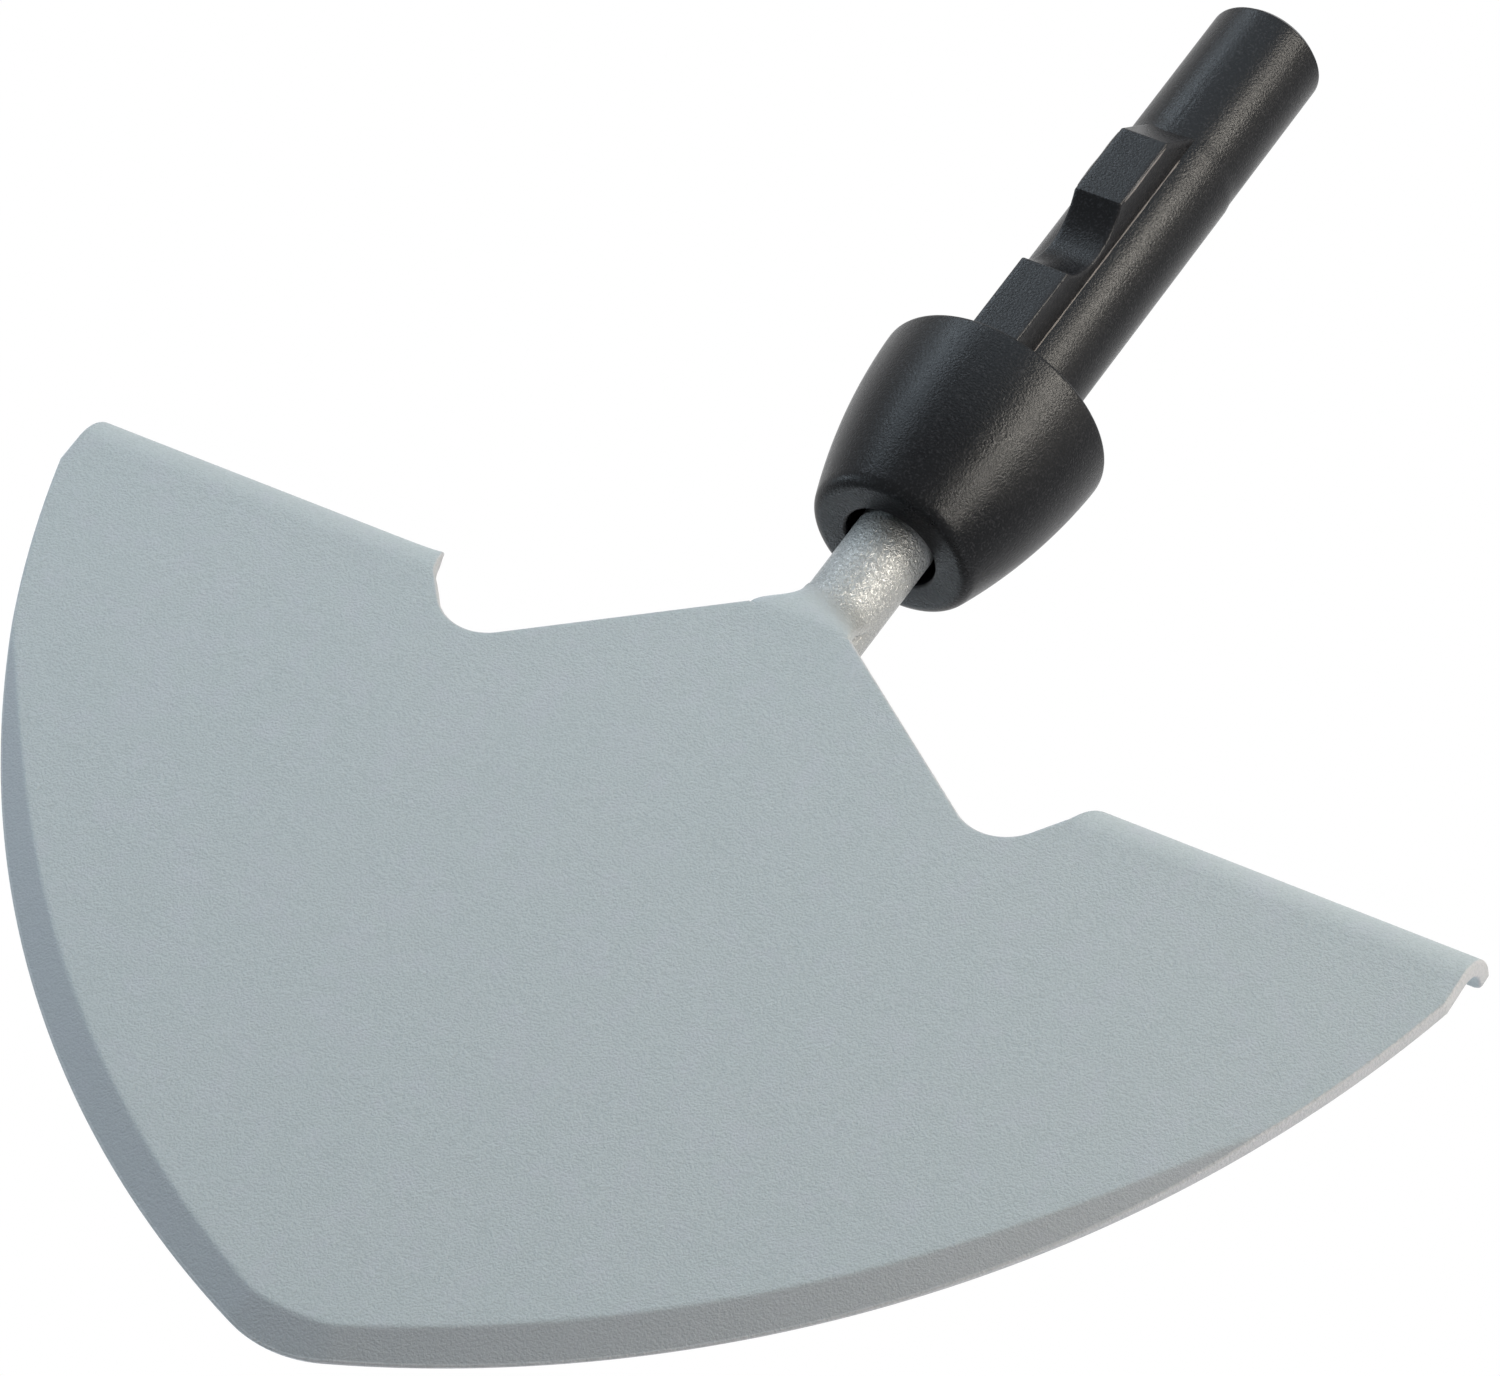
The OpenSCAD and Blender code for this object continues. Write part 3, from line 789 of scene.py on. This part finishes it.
def rib_top(size, height):
    """Distance of the rib's top from the axis: flat, with a round scoop across it and a sloped end."""
    away = np.abs(height - size.scoop_height)
    middle = size.key_reach - size.scoop_depth + size.scoop_radius
    scoop = middle - np.sqrt(np.maximum(size.scoop_radius**2 - away**2, 0.0))
    scooped = np.where(away < size.scoop_radius, scoop, size.key_reach)
    end_sink = 0.8 * MM
    slope_end = size.spigot_radius - end_sink
    slope = size.key_reach - (height - size.key_length) * (size.key_reach - slope_end) / size.key_slope
    return np.minimum(np.minimum(size.key_reach, slope), scooped)


def rib_levels(size):
    """Heights at which the rib is cut, closer together at its crisp edges."""
    half = math.sqrt(size.scoop_radius**2 - (size.scoop_radius - size.scoop_depth) ** 2)
    edges = [size.scoop_height - half, size.scoop_height + half, size.key_length]
    near = np.array([-0.5, -0.25, -0.08, 0.08, 0.25, 0.5]) * MM
    close = np.concatenate([edge + near for edge in edges])
    tail, short = -2 * MM, 0.2 * MM
    even = np.linspace(tail, size.key_length + size.key_slope - short, 120)
    return np.unique(np.concatenate([close, even]))


def rib_surface(size):
    """A flat-topped rib with eased edges: one section, raised to the top line of each height."""
    levels = rib_levels(size)
    top = rib_top(size, levels)
    half = size.key_width / 2
    sink, edge_ease, most_share, edge_highlight_and_wear_share = 1.9 * MM, 0.45 * MM, 0.45, 0.7
    root = size.spigot_radius - sink
    ease = np.minimum(edge_ease, most_share * (top - root))
    turn = np.linspace(0, math.pi / 2, 6)
    side_share = np.linspace(0, 1, 8)[:-1]
    flat = np.linspace(-1, 1, 12)[1:-1]
    one = np.ones_like
    side_x = -half * one(side_share)[:, None] * one(levels)
    side_y = root + (top - ease - root) * side_share[:, None]
    left_x = np.concatenate([side_x, -half + ease * (1 - np.cos(turn))[:, None]])
    left_y = np.concatenate([side_y, top - ease + ease * np.sin(turn)[:, None]])
    mid_x = flat[:, None] * (half - ease)
    mid_y = one(flat)[:, None] * top
    x = np.concatenate([left_x, mid_x, -left_x[::-1]])
    y = np.concatenate([left_y, mid_y, left_y[::-1]])
    grid = capped(np.stack(np.broadcast_arrays(x, -y, levels[None, :]), -1))
    edge_highlight_and_wear = np.zeros(grid.shape[:2])
    shoulder = len(side_share)
    # The eased edges are drawn paler: a painted edge highlight with some rubbing.
    edge_highlight_and_wear[shoulder : shoulder + len(turn)] = edge_highlight_and_wear_share
    edge_highlight_and_wear[-shoulder - len(turn) : -shoulder] = edge_highlight_and_wear_share
    return grid.reshape(-1, 3), grid_faces(*grid.shape[:2], wrap=True), edge_highlight_and_wear.ravel()


def flash_surface(size, side, at_root):
    """A thin ridge of mould flash: a small round carried along the rib's upper edge, or along its root."""
    from_scoop, from_top, root_start, root_past = 0.8 * MM, 0.6 * MM, 1.0 * MM, 3 * MM
    fine_wave, long_wave, wave_share, fade = 900.0, 371.0, 0.25, 1.5 * MM
    root_gap, edge_sink, stand = 0.1 * MM, 0.35 * MM, 0.02 * MM
    half = math.sqrt(size.scoop_radius**2 - (size.scoop_radius - size.scoop_depth) ** 2)
    low, high = size.scoop_height + half + from_scoop, size.key_length - from_top
    if at_root:
        low, high = root_start, size.key_length + root_past
    levels = np.linspace(low, high, 90)
    wave = np.sin(levels * fine_wave) * np.sin(levels * long_wave)
    shape = size.flash * (1 - wave_share + wave_share * wave)
    ends = np.clip(np.minimum(levels - low, high - levels) / fade, 0.0, 1.0)
    radius = shape * np.sqrt(ends) / 2
    angle = np.linspace(0, TURN, 10, endpoint=False)[:, None]
    root = math.sqrt(size.spigot_radius**2 - (size.key_width / 2 + root_gap) ** 2)
    middle = (root if at_root else rib_top(size, levels) - edge_sink) + stand
    x = side * (size.key_width / 2) + radius * np.cos(angle)
    y = -middle + radius * np.sin(angle)
    grid = capped(np.stack(np.broadcast_arrays(x, y, levels[None, :]), -1))
    return grid.reshape(-1, 3), grid_faces(*grid.shape[:2], wrap=True)


def steel_coat(context):
    """The coat shared by blade, welds and tang."""
    tone = context.scene.edger_colours
    name = "grey_powder_coat"
    tones = (tone.coat, tone.coat_hollow_shade, tone.coat_edge_highlight_and_wear, tone.tang_coat_and_shade, tone.bevel_painted_shade, tone.coat_cast)
    return bpy.data.materials.get(name) or coat_finish(name, *tones)


def black_plastic(context):
    """The plastic shared by collar and spigot."""
    tone = context.scene.edger_colours
    name = "black_glass_filled_plastic"
    found = bpy.data.materials.get(name)
    return found or plastic_finish(name, tone.plastic, tone.plastic_fleck, rough=0.27)


class EDGER_OT_blade(Operator):
    """Builds the half moon blade with its bevel, notches and bent treads"""

    bl_idname = "edger.blade"
    bl_label = "Blade"

    def execute(self, context):
        size = context.scene.edger_sizes
        points, faces, edge_highlight_and_wear, ground = blade_surface(size)
        coat = steel_coat(context)
        add_piece("blade_sheet", points, faces, coat, "coated_steel", ["blade"], rim=edge_highlight_and_wear, bevel=ground)
        return {"FINISHED"}


class EDGER_OT_tang(Operator):
    """Builds the round tang"""

    bl_idname = "edger.tang"
    bl_label = "Tang"

    def execute(self, context):
        size = context.scene.edger_sizes
        points, faces = tang_surface(size)
        bar = bar_share(size, points)
        add_piece("tang_bar", points, faces, steel_coat(context), "coated_steel", ["tang"], bar=bar)
        return {"FINISHED"}


class EDGER_OT_welds(Operator):
    """Builds the weld in front of the tang and the two beads behind the blade"""

    bl_idname = "edger.welds"
    bl_label = "Welds"

    def execute(self, context):
        size = context.scene.edger_sizes
        coat = steel_coat(context)
        points, faces = neck_weld_surface(size)
        bar = bar_share(size, points)
        add_piece("neck_weld", points, faces, coat, "coated_weld", ["front_weld"], bar=bar)
        for side, name in ((-1, "left"), (1, "right")):
            points, faces = bead_surface(size, side)
            add_piece(name + "_bead", points, faces, coat, "coated_weld", [name + "_weld"])
        return {"FINISHED"}


class EDGER_OT_collar(Operator):
    """Builds the barrel collar"""

    bl_idname = "edger.collar"
    bl_label = "Collar"

    def execute(self, context):
        size = context.scene.edger_sizes
        points, faces = revolve(collar_profile(size), turns=160)
        add_piece("barrel_collar", points, faces, black_plastic(context), "black_plastic", ["collar"])
        return {"FINISHED"}


class EDGER_OT_spigot(Operator):
    """Builds the spigot with its key rib and mould flash"""

    bl_idname = "edger.spigot"
    bl_label = "Spigot"

    def execute(self, context):
        size = context.scene.edger_sizes
        plastic = black_plastic(context)
        points, faces = revolve(spigot_profile(size), turns=256)
        add_piece("spigot_body", part_nose(size, points), faces, plastic, "black_plastic", ["spigot"])
        points, faces, edge_highlight_and_wear = rib_surface(size)
        add_piece("key_rib", points, faces, plastic, "black_plastic", [], rim=edge_highlight_and_wear)
        # The flash is drawn pale: a painted highlight along the rib's edges, on real flash ridges.
        tone = context.scene.edger_colours.flash
        flash_highlight_finish = plastic_finish("mould_flash_painted_highlight", tone, tone, rough=0.35)
        for side, name in ((-1, "left"), (1, "right")):
            for at_root, place in ((False, "edge"), (True, "root")):
                points, faces = flash_surface(size, side, at_root)
                add_piece(f"flash_{name}_{place}", points, faces, flash_highlight_finish, "black_plastic", [])
        return {"FINISHED"}


def softbox(name, place, aim, size, power, tint):
    """An area lamp at a place, turned to an aim point."""
    lamp = bpy.data.lights.new(name, "AREA")
    lamp.shape = "RECTANGLE"
    lamp.size, lamp.size_y = size
    lamp.energy = power
    lamp.color = tint
    holder = bpy.data.objects.new(name, lamp)
    bpy.context.scene.collection.objects.link(holder)
    place, aim = Vector(place), Vector(aim)
    holder.location = place
    holder.rotation_euler = (aim - place).to_track_quat("-Z", "Y").to_euler()
    return holder


def floor_finish(tone):
    """Pale floor, clear from below and fading into the white surround away from the object."""
    ground = Finish(bpy.data.materials.new("pale_floor"))
    cloud = ground.span(ground.noise(ground.place(), scale=3.0, detail=2.0), 0.3, 0.7)
    shade = ground.mix(cloud * 0.06, tone, (0.82, 0.82, 0.82))
    lit = ground.node("ShaderNodeBsdfPrincipled", None, {"Base Color": shade, "Roughness": 0.9})
    clear = ground.node("ShaderNodeBsdfTransparent")
    behind = ground.node("ShaderNodeNewGeometry", out="Backfacing")
    flat = ground.place((1.0, 1.0, 0.0))
    away = ground.node("ShaderNodeVectorMath", {"operation": "LENGTH"}, {0: flat}, "Value")
    faded = ground.span(away, 0.22, 0.62)
    unseen = behind + faded - behind * faded
    return ground.output(ground.node("ShaderNodeMixShader", None, {0: unseen, 1: lit, 2: clear}))


def studio_floor(scene):
    """A square floor under the object, which takes its shadow and casts none."""
    level, half = CAD_BOX[0][2], 4.0
    mesh = bpy.data.meshes.new("studio_floor")
    corners = [(-half, -half, level), (half, -half, level), (half, half, level), (-half, half, level)]
    mesh.from_pydata(corners, [], [(0, 1, 2, 3)])
    floor = bpy.data.objects.new("studio_floor", mesh)
    scene.collection.objects.link(floor)
    floor.visible_shadow = False
    floor.visible_diffuse = False
    mesh.materials.append(floor_finish(scene.edger_colours.floor))


def white_surround(scene):
    """A world that is white to the camera, in reflections and through clear things, but a faint light."""
    sky = Finish(bpy.data.worlds.new("white_surround"))
    rays = ("Is Camera Ray", "Is Transmission Ray", "Is Glossy Ray")
    camera, through, mirrored = (sky.node("ShaderNodeLightPath", out=ray) for ray in rays)
    white = sky.node("ShaderNodeBackground", None, {"Color": (1.0, 1.0, 1.0)})
    soft = sky.node("ShaderNodeBackground", None, {"Color": (1.0, 0.99, 0.98), "Strength": 0.08})
    seen = camera.most(through).most(mirrored)
    shown = sky.node("ShaderNodeMixShader", None, {0: seen, 1: soft, 2: white})
    scene.world = sky.output(shown, "ShaderNodeOutputWorld")


def studio_lamps():
    """Warm light from the right, cool from the front and left, and low light on the bevel and edges."""
    aim = (0.0, 0.0, -0.05)
    cool, warm, plain = (0.79, 0.91, 1.0), (1.0, 0.91, 0.79), (0.97, 0.97, 1.0)
    softbox("warm_softbox", (0.93, -0.63, 0.79), aim, (0.4, 0.4), 14.0, warm)
    softbox("warm_strip", (1.21, -0.68, 0.10), aim, (0.10, 0.8), 4.8, warm)
    sheen = softbox("sheen_strip", (1.17, -0.71, 0.24), aim, (0.12, 1.15), 23.0, warm)
    sheen.visible_diffuse = False
    softbox("cool_strip", (-0.87, -0.90, 0.56), aim, (0.45, 1.1), 11.2, cool)
    softbox("cool_softbox", (0.10, -1.19, 0.85), aim, (1.2, 1.0), 7.4, cool)
    softbox("low_softbox", (-1.25, -0.22, -0.64), aim, (0.4, 0.4), 9.0, cool)
    softbox("right_strip", (1.24, -0.04, 0.61), aim, (0.2, 0.8), 2.0, warm)
    softbox("edge_softbox", (0.75, 0.30, -0.65), aim, (0.6, 0.6), 6.5, plain)
    softbox("under_softbox", (-0.41, 0.75, -0.56), aim, (0.5, 0.5), 5.0, cool)
    rim = softbox("rim_softbox", (-0.75, 0.35, 0.50), aim, (0.25, 0.8), 0.5, cool)
    rim.visible_glossy = False


def photo_camera(scene):
    """The camera fitted to the photo: it looks up at the head from below on the right."""
    right = Vector((0.850184, 0.100975, 0.516713))
    up = Vector((-0.332763, -0.657487, 0.676003))
    back = Vector((0.407991, -0.746669, -0.525384))
    place = Vector((0.46101, -0.85137, -0.65998))
    lens = bpy.data.cameras.new("photo_camera")
    lens.lens = 195.86
    lens.sensor_width = 36.0
    lens.sensor_fit = "HORIZONTAL"
    lens.clip_start = 0.05
    lens.clip_end = 50.0
    camera = bpy.data.objects.new("photo_camera", lens)
    scene.collection.objects.link(camera)
    turn = Matrix((right, up, back)).transposed().to_4x4()
    camera.matrix_world = Matrix.Translation(place) @ turn
    scene.camera = camera


class EDGER_OT_stage(Operator):
    """Builds the floor, the white surround, the soft light and the camera"""

    bl_idname = "edger.stage"
    bl_label = "Stage"

    def execute(self, context):
        scene = context.scene
        studio_floor(scene)
        white_surround(scene)
        studio_lamps()
        photo_camera(scene)
        scene.view_settings.view_transform = "Standard"
        return {"FINISHED"}


PIECES = (EDGER_OT_blade, EDGER_OT_tang, EDGER_OT_welds, EDGER_OT_collar, EDGER_OT_spigot, EDGER_OT_stage)


class EDGER_PT_panel(Panel):
    """Lists the pieces of the head"""

    bl_idname = "EDGER_PT_panel"
    bl_label = "Half moon edger head"
    bl_space_type = "VIEW_3D"
    bl_region_type = "UI"
    bl_category = "Edger"

    def draw(self, context):
        for piece in PIECES:
            self.layout.operator(piece.bl_idname)
        for group in (context.scene.edger_sizes, context.scene.edger_colours):
            box = self.layout.box()
            for name in group.__annotations__:
                box.prop(group, name)


CLASSES = (EdgerSizes, EdgerColours, *PIECES, EDGER_PT_panel)


def register():
    for cls in CLASSES:
        bpy.utils.register_class(cls)
    bpy.types.Scene.edger_sizes = PointerProperty(type=EdgerSizes)
    bpy.types.Scene.edger_colours = PointerProperty(type=EdgerColours)


def unregister():
    del bpy.types.Scene.edger_colours
    del bpy.types.Scene.edger_sizes
    for cls in reversed(CLASSES):
        bpy.utils.unregister_class(cls)


def main():
    """Registers the add-on, then builds every piece in order."""
    register()
    bpy.ops.edger.blade()
    bpy.ops.edger.tang()
    bpy.ops.edger.welds()
    bpy.ops.edger.collar()
    bpy.ops.edger.spigot()
    bpy.ops.edger.stage()


if __name__ == "__main__":
    main()
